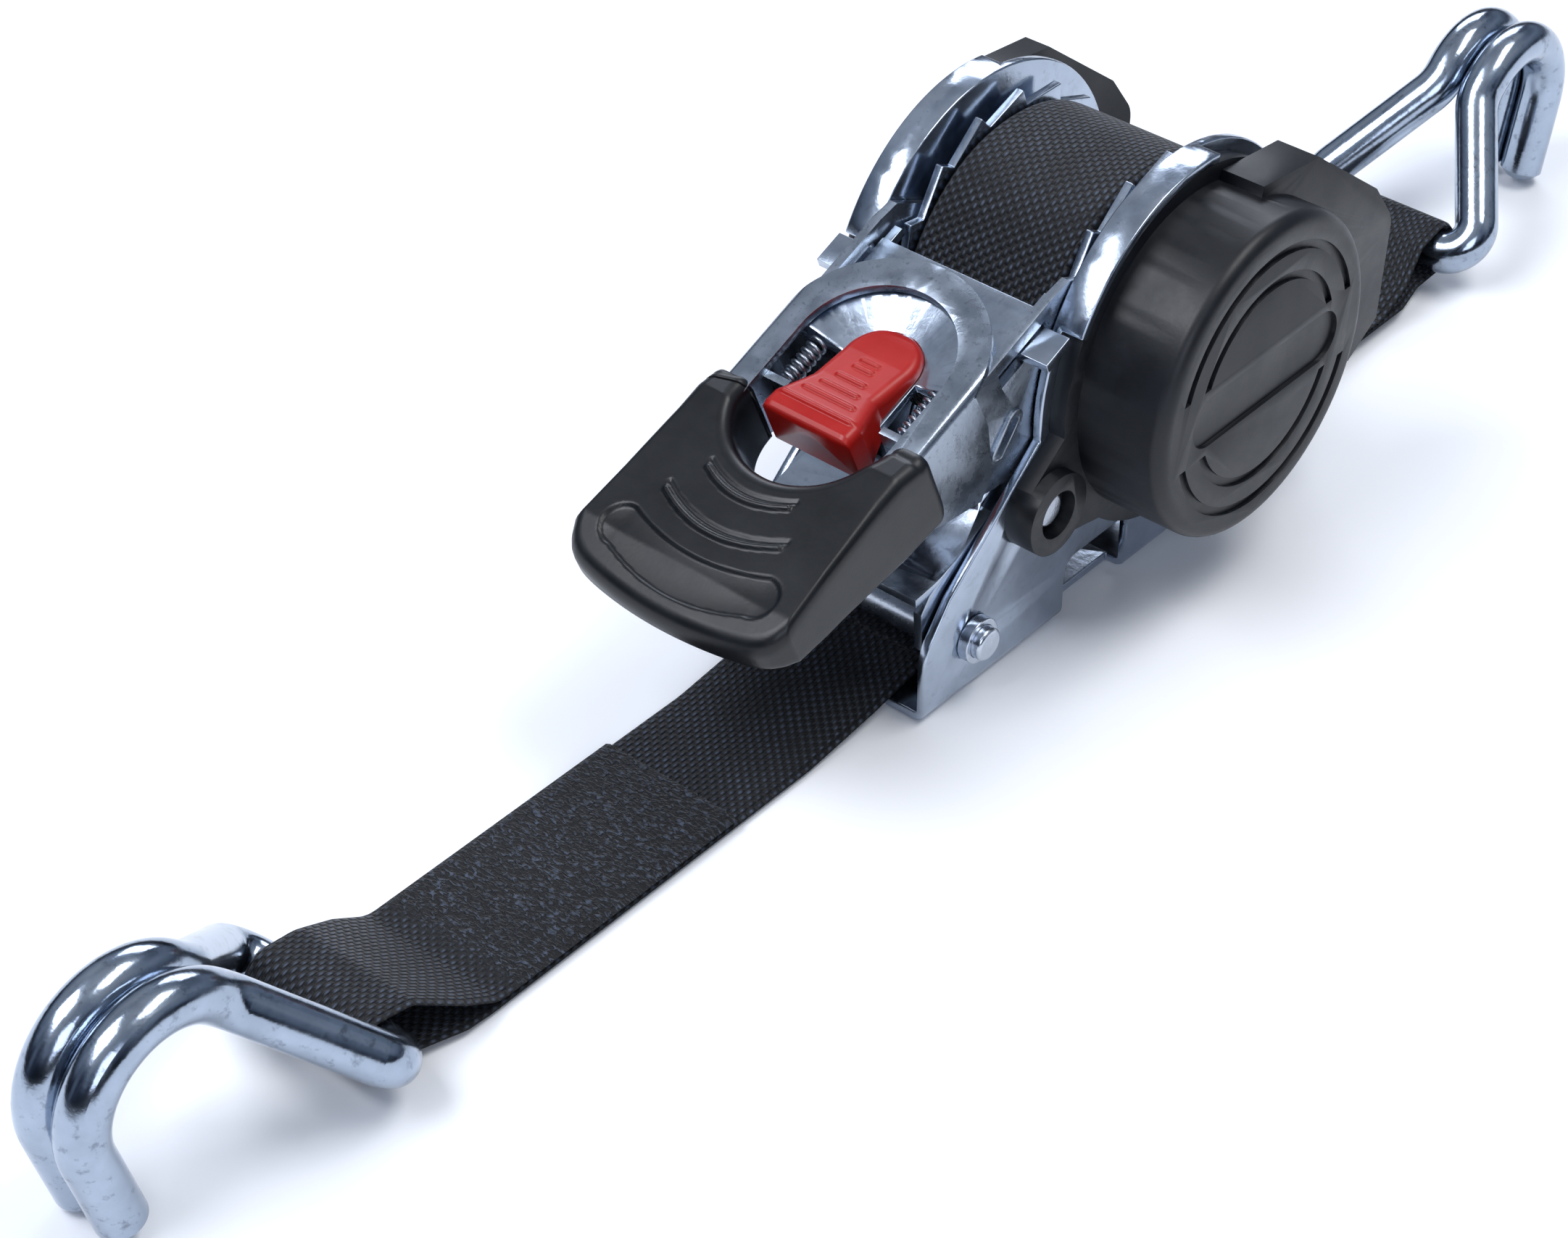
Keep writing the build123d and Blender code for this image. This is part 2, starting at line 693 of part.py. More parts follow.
# ================================================================ lock pawl on the front pin
cheek_out = wall_in - cheek_gap
cheek_in = cheek_out - cheek_thickness
with BuildPart() as lock_pawl:
    for inner in (cheek_in, -cheek_out):
        with BuildSketch(side(inner + cheek_thickness)):
            with Locations((front_pin_x, front_pin_z)):
                Circle(cheek_radius)
            with BuildLine():
                Polyline((front_pin_x - 9.4, front_pin_z + 2), (-54.3, 18.5), (-51.5, 22.4), (-46, 24.0), (-38.6, 27.8), (-36.2, 26.4),
                         (front_pin_x + 7.6, front_pin_z + 2), close=True)
            make_face()
            with Locations((front_pin_x, front_pin_z)):
                Circle(front_pin_radius + running, mode=Mode.SUBTRACT)
        extrude(amount=cheek_thickness)
    with BuildSketch(Plane.XZ):
        with BuildLine():
            Polyline((-55.6, 21.3), (-50.5, 21.9), (-45.5, 23.6), (-38.4, 27.4))
        trace(line_width=lock_plate)
    extrude(amount=cheek_out, both=True)
    for start in (-wheel_in, wheel_out):
        with BuildSketch(side(start)):
            with BuildLine():
                Polyline((-41, 25.2), (-38.8, 28.6), (-29.0, 34.0), (-28.6, 32.6), (-36.0, 25.6), close=True)
            make_face()
        extrude(amount=wheel_thickness)
save(lock_pawl.part, "lock_pawl")

with BuildPart() as lock_springs:
    for start in (-roll_half - 0.7, roll_half + 0.7 + 2 * lock_wire):
        with BuildSketch(side(start)):
            with Locations((front_pin_x, front_pin_z)):
                Circle(front_pin_radius + 2 * lock_wire + 0.3)
                Circle(front_pin_radius + lock_wire + 0.3, mode=Mode.SUBTRACT)
            with Locations((front_pin_x - 4.2, front_pin_z + 5.6)):
                Rectangle(lock_wire, 9)
        extrude(amount=2 * lock_wire)
save(lock_springs.part, "lock_springs")


# ================================================================ end hooks
def hook(bar_x, heading):
    """Double hook bent from one wire: a bar through the webbing, two legs that come together,
    and a J-bend. Local x runs along the shank, local z towards the side that the J curls to."""
    lean = radians(hook_lean)
    frame_plane = Plane(origin=(bar_x, 0, bar_height), x_dir=(heading * cos(lean), 0, sin(lean)),
                        z_dir=(heading * sin(lean), 0, -cos(lean)))
    half_turn = radians(hook_turn / 2)
    reach = hook_bend_radius * tan(half_turn / 2)
    first = (hook_shank + reach, 0)
    flat = 2 * reach + 0.1
    second = (first[0] + flat * cos(half_turn), flat * sin(half_turn))
    third = (second[0] + (reach + hook_tip) * cos(2 * half_turn), second[1] + (reach + hook_tip) * sin(2 * half_turn))
    with BuildPart() as wire:
        with BuildLine(frame_plane) as path:
            FilletPolyline((0, 0, 0), (0, hook_bar_half, 0), (hook_merge, hook_gap, 0), (first[0], hook_gap, first[1]),
                           (second[0], hook_gap, second[1]), (third[0], hook_gap, third[1]),
                           radius=[hook_bar_corner, hook_merge_radius, hook_bend_radius, hook_bend_radius])
        with BuildSketch(path.line ^ 0):
            Circle(hook_wire_radius)
        sweep()
        chamfer(faces().sort_by_distance(frame_plane.from_local_coords((third[0], hook_gap, third[1])))[0].edges(), 1.2)
        mirror(about=Plane.XZ)
    return wire.part


save(hook(pull_bar_x, -1), "near_hook")
save(hook(far_bar_x, 1), "far_hook")

# ================================================================ webbing
loop_inner = hook_wire_radius + loop_gap
loop_middle = loop_inner + strap_thickness / 2
half_strap = strap_thickness / 2
sleeve_low = front_pin_z - sleeve_radius - soft_gap - half_strap

with BuildPart() as webbing_lead:
    with BuildSketch(Plane.XZ):
        with BuildLine():
            FilletPolyline((-3.6, axle_height - roll_radius - soft_gap - half_strap + 0.2), (front_pin_x + 4.5, sleeve_low + 0.2),
                           (lead_end_x, sleeve_low - 0.6), radius=20)
        trace(line_width=strap_thickness)
    extrude(amount=roll_half, both=True)
save(webbing_lead.part, "webbing_lead")


def folded_strap(bar_x, heading, run, rows):
    """Webbing folded round a hook's bar: an eye, the lower layer along run, and the upper layer that
    comes down onto it for the sewn stretch. heading is +1 where the strap leaves the bar towards +X."""
    low = run[-2][1]
    sewn_end = bar_x + heading * (stitch_start + rows * stitch_pitch)
    with BuildPart() as strap:
        with BuildSketch(Plane.XZ):
            with Locations((bar_x, bar_height)):
                Circle(loop_inner + strap_thickness)
            with BuildLine():
                FilletPolyline(*run, radius=12)
            trace(line_width=strap_thickness)
            with BuildLine():
                FilletPolyline((bar_x, bar_height + loop_middle), (bar_x + heading * 5.5, bar_height + loop_middle - 0.9),
                               (bar_x + heading * (stitch_start - 3), low + strap_thickness),
                               (sewn_end, low + strap_thickness), radius=[5, 8])
            trace(line_width=strap_thickness)
            with Locations((bar_x, bar_height)):
                Circle(loop_inner, mode=Mode.SUBTRACT)
        extrude(amount=roll_half, both=True)
        with BuildSketch(Plane.XY.offset(-1)):
            with BuildLine():
                Polyline((bar_x - heading * eye_gather, -eye_half), (bar_x + heading * eye_gather / 2, -eye_half),
                         (bar_x + heading * eye_gather, -roll_half), (run[0][0], -roll_half), (run[0][0], roll_half),
                         (bar_x + heading * eye_gather, roll_half), (bar_x + heading * eye_gather / 2, eye_half),
                         (bar_x - heading * eye_gather, eye_half), close=True)
            make_face()
        extrude(amount=bar_height + 3 * loop_middle, mode=Mode.INTERSECT)
    return strap.part


def stitching(bar_x, heading, height, rows):
    """Rows of thread across the sewn stretch."""
    with BuildPart() as thread:
        with BuildSketch(Plane.XY.offset(height)):
            middle = bar_x + heading * (stitch_start + (rows - 1) * stitch_pitch / 2)
            with Locations((middle, 0)):
                with GridLocations(stitch_pitch, 1, rows, 1):
                    Rectangle(stitch_width, strap_width - 4)
        extrude(amount=stitch_height)
    return thread.part


floor_middle = half_strap + 0.1
pull_run = [(lead_end_x - 0.2, sleeve_low - 0.6), (-60, 2.2), (floor_run_start, floor_middle),
            (floor_run_end, floor_middle), (pull_bar_x, bar_height - loop_middle)]
save(folded_strap(pull_bar_x, 1, pull_run, pull_rows), "pull_strap")
save(stitching(pull_bar_x, 1, floor_middle + 1.5 * strap_thickness, pull_rows), "pull_stitching")

# short strap: an eye round the rear pin, an eye round the far hook's bar, sewn between them
short_low = bar_height - loop_middle
short_level_x = 50.0
rear_loop_inner = rear_pin_radius + soft_gap
rear_loop_middle = rear_loop_inner + half_strap
short_run = [(rear_pin_x, rear_pin_z - rear_loop_middle), (short_level_x, short_low), (far_bar_x, short_low)]
with BuildPart() as short_strap:
    add(folded_strap(far_bar_x, -1, short_run, short_rows))
    with BuildSketch(Plane.XZ):
        with Locations((rear_pin_x, rear_pin_z)):
            Circle(rear_loop_middle + half_strap)
        with BuildLine():
            FilletPolyline((rear_pin_x, rear_pin_z + rear_loop_middle), (40, 10.6), (short_level_x, 4.6),
                           (56.5, short_low + strap_thickness), radius=[4, 8])
        trace(line_width=strap_thickness)
        with Locations((rear_pin_x, rear_pin_z)):
            Circle(rear_loop_inner, mode=Mode.SUBTRACT)
    extrude(amount=roll_half, both=True)
    with BuildSketch(Plane.XZ):
        with Locations((rear_pin_x, rear_pin_z)):
            Circle(rear_loop_inner)
    extrude(amount=roll_half, both=True, mode=Mode.SUBTRACT)
save(short_strap.part, "short_strap")
save(stitching(far_bar_x, -1, short_low + 1.5 * strap_thickness, short_rows), "short_stitching")
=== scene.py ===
"""Retractable ratchet tie down: the look of the part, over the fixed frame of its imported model.

Every piece is a surface worked out on a grid of two parameters. Sizes are in metres, +Z up, the drum's
axle along Y, the pull-out end towards -X, the origin under the axle on the channel's underside.
"""

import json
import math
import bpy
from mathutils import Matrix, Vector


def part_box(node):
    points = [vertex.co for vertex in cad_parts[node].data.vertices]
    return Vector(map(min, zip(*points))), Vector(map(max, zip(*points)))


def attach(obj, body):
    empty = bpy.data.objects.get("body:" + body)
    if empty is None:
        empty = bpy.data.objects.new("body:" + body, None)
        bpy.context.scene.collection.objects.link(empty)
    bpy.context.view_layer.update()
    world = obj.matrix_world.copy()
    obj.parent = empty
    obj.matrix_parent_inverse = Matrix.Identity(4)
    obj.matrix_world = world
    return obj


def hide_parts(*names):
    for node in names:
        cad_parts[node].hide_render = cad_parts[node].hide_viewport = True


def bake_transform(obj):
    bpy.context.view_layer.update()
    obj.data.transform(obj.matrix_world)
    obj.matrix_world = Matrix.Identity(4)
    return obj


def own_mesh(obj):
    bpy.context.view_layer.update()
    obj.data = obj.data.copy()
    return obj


bl_info = {
    "name": "Ratchet tie down",
    "version": (1, 0, 0),
    "blender": (4, 5, 0),
    "location": "View3D > Sidebar > Tie down",
    "description": "Builds the webbing, grip, release tab and finishes of a retractable ratchet tie down",
    "category": "Object",
}

import bmesh
import bpy
import numpy as np
from mathutils import Vector
from bpy.props import FloatProperty, FloatVectorProperty, PointerProperty

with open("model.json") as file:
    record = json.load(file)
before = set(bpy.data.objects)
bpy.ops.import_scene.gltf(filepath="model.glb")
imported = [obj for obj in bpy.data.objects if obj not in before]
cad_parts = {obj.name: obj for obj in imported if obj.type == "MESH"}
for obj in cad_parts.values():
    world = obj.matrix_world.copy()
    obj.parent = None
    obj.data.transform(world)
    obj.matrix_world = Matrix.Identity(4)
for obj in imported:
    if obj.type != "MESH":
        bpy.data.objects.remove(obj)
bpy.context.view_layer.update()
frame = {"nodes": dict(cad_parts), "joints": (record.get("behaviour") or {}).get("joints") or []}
JOINT = {j["name"]: j for j in frame["joints"]}
MM = 0.001

# ------------------------------------------------------------------ places read from the frame
AXLE = np.array(JOINT["handle_swing"]["pos_m"])
NEAR_BAR = np.array(JOINT["near_hook_swing"]["pos_m"])
FAR_BAR = np.array(JOINT["far_hook_swing"]["pos_m"])
REAR_PIN = np.array(JOINT["short_strap_swing"]["pos_m"])
ALONG = np.array(JOINT["pawl_slide"]["axis"])           # along the handle, away from the drum
SQUARE = np.array([ALONG[2], 0.0, -ALONG[0]])           # out through the handle's top plate
ACROSS = np.array([0.0, 1.0, 0.0])
FULL_HALF = 0.0125          # half the webbing's width
EYE_RADIUS = 0.0044         # from the middle of a hook's bar to the middle of the webbing round it
EYE_HALF = 0.0106           # the webbing is gathered to this half width on a hook's bar
STEP = 0.0005               # between two rows of a strap's grid
FOLD_BACK = 0.0709          # from the pull-out strap's outer end to the end of the layer laid back on it
SEWING_OFFSET = 0.021       # along the strap, from the near hook's bar to where the sewing starts


# ================================================================== sizes and colours
class TieDownSizes(bpy.types.PropertyGroup):
    strap_width: FloatProperty(name="Webbing width", description="Width of the webbing", default=0.025,
                               unit="LENGTH")
    strap_thickness: FloatProperty(name="Webbing thickness", description="Thickness of one layer",
                                   default=0.001, unit="LENGTH")
    roll_radius: FloatProperty(name="Roll radius", description="Outside of the wound webbing",
                               default=0.027, unit="LENGTH")
    cord_pitch: FloatProperty(name="Cord spacing", description="From one lengthwise cord to the next",
                              default=0.0009, precision=5, unit="LENGTH")
    pick_pitch: FloatProperty(name="Pick spacing", description="Length of one stitch of the weave",
                              default=0.0017, precision=5, unit="LENGTH")


class TieDownColours(bpy.types.PropertyGroup):
    webbing: FloatVectorProperty(name="Webbing", description="Polyester yarn", subtype="COLOR", size=3,
                                 default=(0.0022, 0.0027, 0.0042))


def linear(code):
    """sRGB hex, such as "#c4161c", to a linear colour: each channel through the sRGB curve."""
    channels = np.array([int(code[i:i + 2], 16) for i in (1, 3, 5)]) / 255
    curve = np.where(channels <= 0.04045, channels / 12.92, ((channels + 0.055) / 1.055) ** 2.4)
    return (*[float(c) for c in curve], 1.0)


# ================================================================== small helpers
def add(tree, kind, inputs=None, **settings):
    """Adds one node: settings are its properties, inputs its sockets' values or links, by name or number."""
    made = tree.nodes.new(kind)
    for name, value in settings.items():
        setattr(made, name, value)
    for key, value in (inputs or {}).items():
        if isinstance(value, bpy.types.NodeSocket):
            tree.links.new(value, made.inputs[key])
        else:
            made.inputs[key].default_value = value
    return made


def new_material(name, **sockets):
    """A material with one Principled shader and its fixed sockets set."""
    material = bpy.data.materials.new(name)
    material.use_nodes = True
    tree = material.node_tree
    shader = tree.nodes["Principled BSDF"]
    for key, value in sockets.items():
        shader.inputs[key.replace("_", " ")].default_value = value
    return material, tree, shader


def ramp(tree, factor, stops):
    """A colour ramp with the given (place, colour) stops."""
    made = add(tree, "ShaderNodeValToRGB", {"Fac": factor})
    elements = made.color_ramp.elements
    while len(elements) < len(stops):
        elements.new(0.5)
    for element, (place, colour) in zip(elements, stops):
        element.position = place
        element.color = colour if len(colour) == 4 else (*colour, 1.0)
    return made.outputs["Color"]


def handle_point(u, y, w):
    """Handle coordinates to the row frame: AXLE + u ALONG + y ACROSS + w SQUARE, for arrays of any shape."""
    u, y, w = np.broadcast_arrays(u, y, w)
    return AXLE + u[..., None] * ALONG + y[..., None] * ACROSS + w[..., None] * SQUARE


def grid_object(name, points, material, body, close_u=False, close_v=False, uv=None, cap_u=False):
    """Quads over an m by n grid of points. close_u joins the last row to the first, close_v the last column
    to the first, and cap_u closes both ends with a fan's worth of faces to the end rows' middles."""
    m, n = points.shape[:2]
    rows, columns = (m if close_u else m - 1), (n if close_v else n - 1)
    i, j = np.meshgrid(np.arange(rows), np.arange(columns), indexing="ij")
    a = i * n + j
    b = ((i + 1) % m) * n + j
    c = ((i + 1) % m) * n + (j + 1) % n
    d = i * n + (j + 1) % n
    faces = np.stack([a, b, c, d], axis=-1).reshape(-1, 4).tolist()
    vertices = points.reshape(-1, 3)
    if cap_u:
        vertices = np.vstack([vertices, points[0].mean(0), points[-1].mean(0)])
        ring = np.arange(n)
        after = (ring + 1) % n
        first, last = m * n, m * n + 1
        faces += np.stack([np.full(n, first), ring, after], axis=-1).tolist()
        base = (m - 1) * n
        faces += np.stack([np.full(n, last), base + after, base + ring], axis=-1).tolist()
    mesh = bpy.data.meshes.new(name)
    mesh.from_pydata(vertices.tolist(), [], faces)
    mesh.polygons.foreach_set("use_smooth", np.ones(len(mesh.polygons), bool))
    if uv is not None:
        flat = np.vstack([uv.reshape(-1, 2), np.zeros((len(vertices) - m * n, 2))])
        layer = mesh.uv_layers.new(name="weave")
        corner = np.zeros(len(mesh.loops), np.int32)
        mesh.loops.foreach_get("vertex_index", corner)
        layer.data.foreach_set("uv", flat[corner].astype(np.float32).ravel())
    mesh.materials.append(material)
    mesh.update()
    made = bpy.data.objects.new(name, mesh)
    bpy.context.scene.collection.objects.link(made)
    face_outwards(made)
    if body is not None:
        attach(made, body)
    return made


def face_outwards(piece):
    """Recalculates a closed piece's normals so that they point out."""
    work = bmesh.new()
    work.from_mesh(piece.data)
    bmesh.ops.recalc_face_normals(work, faces=work.faces)
    work.to_mesh(piece.data)
    work.free()


def smooth_path(corners, radius, step):
    """A polyline of (x, z) corners with each inner corner replaced by an arc of the given radius (or less
    where the runs are short), resampled at even steps of arc length."""
    corners = np.asarray(corners, float)
    points = [corners[0]]
    for before, corner, after in zip(corners[:-2], corners[1:-1], corners[2:]):
        into, out = corner - before, after - corner
        length_in, length_out = np.linalg.norm(into), np.linalg.norm(out)
        into, out = into / length_in, out / length_out
        turn = math.acos(float(np.clip(into @ out, -1, 1)))
        if turn < 1e-3:
            continue
        reach = min(radius * math.tan(turn / 2), 0.48 * length_in, 0.48 * length_out)
        t = np.linspace(0, 1, 9)[:, None]
        start, end = corner - into * reach, corner + out * reach
        points.extend((1 - t) ** 2 * start + 2 * t * (1 - t) * corner + t ** 2 * end)
    points.append(corners[-1])
    return even(np.array(points), step)


def even(points, step):
    """Points at even steps of arc length along a polyline."""
    length = np.concatenate([[0], np.cumsum(np.linalg.norm(np.diff(points, axis=0), axis=1))])
    keep = np.concatenate([[True], np.diff(length) > 1e-7])
    points, length = points[keep], length[keep]
    count = max(int(round(length[-1] / step)), 2)
    wanted = np.linspace(0, length[-1], count + 1)
    return np.stack([np.interp(wanted, length, points[:, k]) for k in range(points.shape[1])], axis=-1)


def strap_grid(path, half_width, thickness):
    """A strap carried along a path of (x, z) points: the section is a flat oval of the given thickness with
    round edges, square to the path. half_width may change along the path. Returns points and uv in metres."""
    tangent = np.gradient(path, axis=0)
    tangent /= np.linalg.norm(tangent, axis=1)[:, None]
    normal = np.stack([-tangent[:, 1], tangent[:, 0]], axis=-1)
    across = np.concatenate([np.linspace(-1, 1, 29), [1.0], np.linspace(1, -1, 29), [-1.0]])
    edge = np.sqrt(np.clip(1 - np.abs(across) ** 24, 0, 1))
    lift = np.concatenate([edge[:29], [0.0], -edge[30:59], [0.0]]) * thickness / 2
    half = np.broadcast_to(half_width, len(path))
    y = across[None, :] * half[:, None]
    x = path[:, 0][:, None] + normal[:, 0][:, None] * lift[None, :]
    z = path[:, 1][:, None] + normal[:, 1][:, None] * lift[None, :]
    points = np.stack([x, np.broadcast_to(y, x.shape), z], axis=-1)
    run = np.concatenate([[0], np.cumsum(np.linalg.norm(np.diff(path, axis=0), axis=1))])
    uv = np.stack([(across[None, :] + 1) * FULL_HALF + 0 * x, run[:, None] + 0 * x], axis=-1)
    return points, uv


def rounded_loop(edge_top, edge_low, flat_points):
    """The section of a bar with rounded edges, as a closed loop of n points. Each point is given by its
    share of the width, its offset from there, its share of the height and its offset: an edge's quarter
    circle of radius r is r (1 - cos a) in and r (1 - sin a) down."""
    a = np.linspace(0, math.pi / 2, 6)
    side = np.linspace(0, 1, 6)[1:-1]
    rise = edge_low * (1 - side) - edge_top * side
    flat = np.linspace(0, 1, flat_points + 2)[1:-1]
    low = np.linspace(1, 0, 9)[1:-1]
    zero, one = np.zeros_like, np.ones_like
    parts = [
        (zero(side), zero(side), side, rise, zero(side)),
        (zero(a), edge_top * (1 - np.cos(a)), one(a), -edge_top * (1 - np.sin(a)), one(a)),
        (flat, edge_top * (1 - 2 * flat), one(flat), zero(flat), one(flat)),
        (one(a), -edge_top * (1 - np.cos(a[::-1])), one(a), -edge_top * (1 - np.sin(a[::-1])), one(a)),
        (one(side), zero(side), side[::-1], rise[::-1], zero(side)),
        (one(a), -edge_low * (1 - np.cos(a)), zero(a), edge_low * (1 - np.sin(a)), zero(a)),
        (low, edge_low * (1 - 2 * low), zero(low), zero(low), zero(low)),
        (zero(a), edge_low * (1 - np.cos(a[::-1])), zero(a), edge_low * (1 - np.sin(a[::-1])), zero(a)),
    ]
    return [np.concatenate(column) for column in zip(*parts)]


def banded(inner, outer, top, low, edge_top, edge_low, flat_points, relief, cap=(0.0, 0.0)):
    """A bar between two lines of (u, y) points in handle coordinates, in millimetres. Its section is the
    rounded loop, its top and underside are functions of (u, y), and relief(u, y) is added to the top face.
    cap gives how far each end is drawn in to a rounded nose: there the section shrinks about its middle
    as the fourth root of a circle's height."""
    share, offset, lift, drop, raised = rounded_loop(edge_top, edge_low, flat_points)
    width = np.linalg.norm(outer - inner, axis=1)[:, None]
    squeeze = np.minimum(1.0, 0.49 * width / max(edge_top, edge_low))
    x = share * width + offset * squeeze
    place = inner[:, None, :] + (outer - inner)[:, None, :] * (x / width)[..., None]
    u, y = place[..., 0], place[..., 1]
    high, under = top(u, y), low(u, y)
    w = under + lift * (high - under) + drop * squeeze + raised * relief(u, y)
    rows = np.arange(len(inner))
    points = handle_point(u * MM, y * MM, w * MM)
    for nose, order in ((cap[0], rows), (cap[1], rows[::-1])):
        if not nose:
            continue
        ring = points[order[0]]
        middle = ring.mean(0)
        phi = np.linspace(math.pi / 2, 0.12, 9)[1:]
        grow = np.sin(phi)[:, None, None] ** 0.45
        rings = middle + (ring - middle) * grow - ALONG * (nose * MM * np.cos(phi))[:, None, None]
        points = np.vstack([rings[::-1], points]) if order[0] == 0 else np.vstack([points, rings])
    return points


def smooth_step(value, start, end):
    """0 below start, 1 above end, and the cubic 3 t^2 - 2 t^3 between."""
    t = np.clip((value - start) / (end - start), 0, 1)
    return t * t * (3 - 2 * t)


# ================================================================== finishes
def zinc_sheet(name, code, roughness, specks=0.5, scale=900):
    """Bright zinc plate on pressed steel: a blue-white metal with soft clouding and a few dark pin specks.
    The clouding is 3 to 8 mm across and the specks 0.3 mm, drawn a little coarse so that they show."""
    material, tree, shader = new_material(name, Metallic=1.0)
    where = add(tree, "ShaderNodeTexCoord").outputs["Object"]
    cloud = add(tree, "ShaderNodeTexNoise", {"Vector": where, "Scale": 180.0, "Detail": 4.0,
                                             "Roughness": 0.6}).outputs["Fac"]
    speck = add(tree, "ShaderNodeTexNoise", {"Vector": where, "Scale": float(scale), "Detail": 3.0,
                                             "Roughness": 0.65}).outputs["Fac"]
    base = linear(code)
    dark = tuple(c * 0.30 for c in base[:3])
    light = ramp(tree, cloud, [(0.3, tuple(c * 0.82 for c in base[:3])), (0.65, base)])
    mark = ramp(tree, speck, [(0.60 - 0.05 * specks, (0, 0, 0)), (0.72, (1, 1, 1))])
    share = add(tree, "ShaderNodeMath", {0: mark, 1: float(specks)}, operation="MULTIPLY").outputs[0]
    colour = add(tree, "ShaderNodeMix", {"Factor": share, "A": light, "B": (*dark, 1.0)}, data_type="RGBA")
    tree.links.new(colour.outputs["Result"], shader.inputs["Base Color"])
    rough = add(tree, "ShaderNodeMapRange", {"Value": cloud, "From Min": 0.3, "From Max": 0.7,
                                             "To Min": roughness * 0.75, "To Max": roughness * 1.35})
    tree.links.new(rough.outputs["Result"], shader.inputs["Roughness"])
    bump = add(tree, "ShaderNodeBump", {"Height": speck, "Strength": 0.35, "Distance": 0.00008})
    tree.links.new(bump.outputs["Normal"], shader.inputs["Normal"])
    return material


def moulded_plastic(name, code, roughness, grain=0.00004, pitch=0.00045, worn="#3b4048"):
    """Injection-moulded plastic: one colour through, a fine spark-eroded grain about 0.4 mm across, and
    slightly paler, smoother patches where it has been handled."""
    material, tree, shader = new_material(name, Roughness=roughness, IOR=1.5, Specular_IOR_Level=0.4)
    where = add(tree, "ShaderNodeTexCoord").outputs["Object"]
    fine = add(tree, "ShaderNodeTexNoise", {"Vector": where, "Scale": 1 / pitch,
                                            "Detail": 2.0}).outputs["Fac"]
    patch = add(tree, "ShaderNodeTexNoise", {"Vector": where, "Scale": 90.0, "Detail": 5.0,
                                             "Roughness": 0.65}).outputs["Fac"]
    colour = ramp(tree, patch, [(0.35, linear(code)), (0.8, linear(worn))])
    tree.links.new(colour, shader.inputs["Base Color"])
    rough = add(tree, "ShaderNodeMapRange", {"Value": patch, "From Min": 0.3, "From Max": 0.7,
                                             "To Min": roughness * 0.85, "To Max": roughness * 1.2})
    tree.links.new(rough.outputs["Result"], shader.inputs["Roughness"])
    bump = add(tree, "ShaderNodeBump", {"Height": fine, "Strength": 0.5, "Distance": grain})
    tree.links.new(bump.outputs["Normal"], shader.inputs["Normal"])
    return material


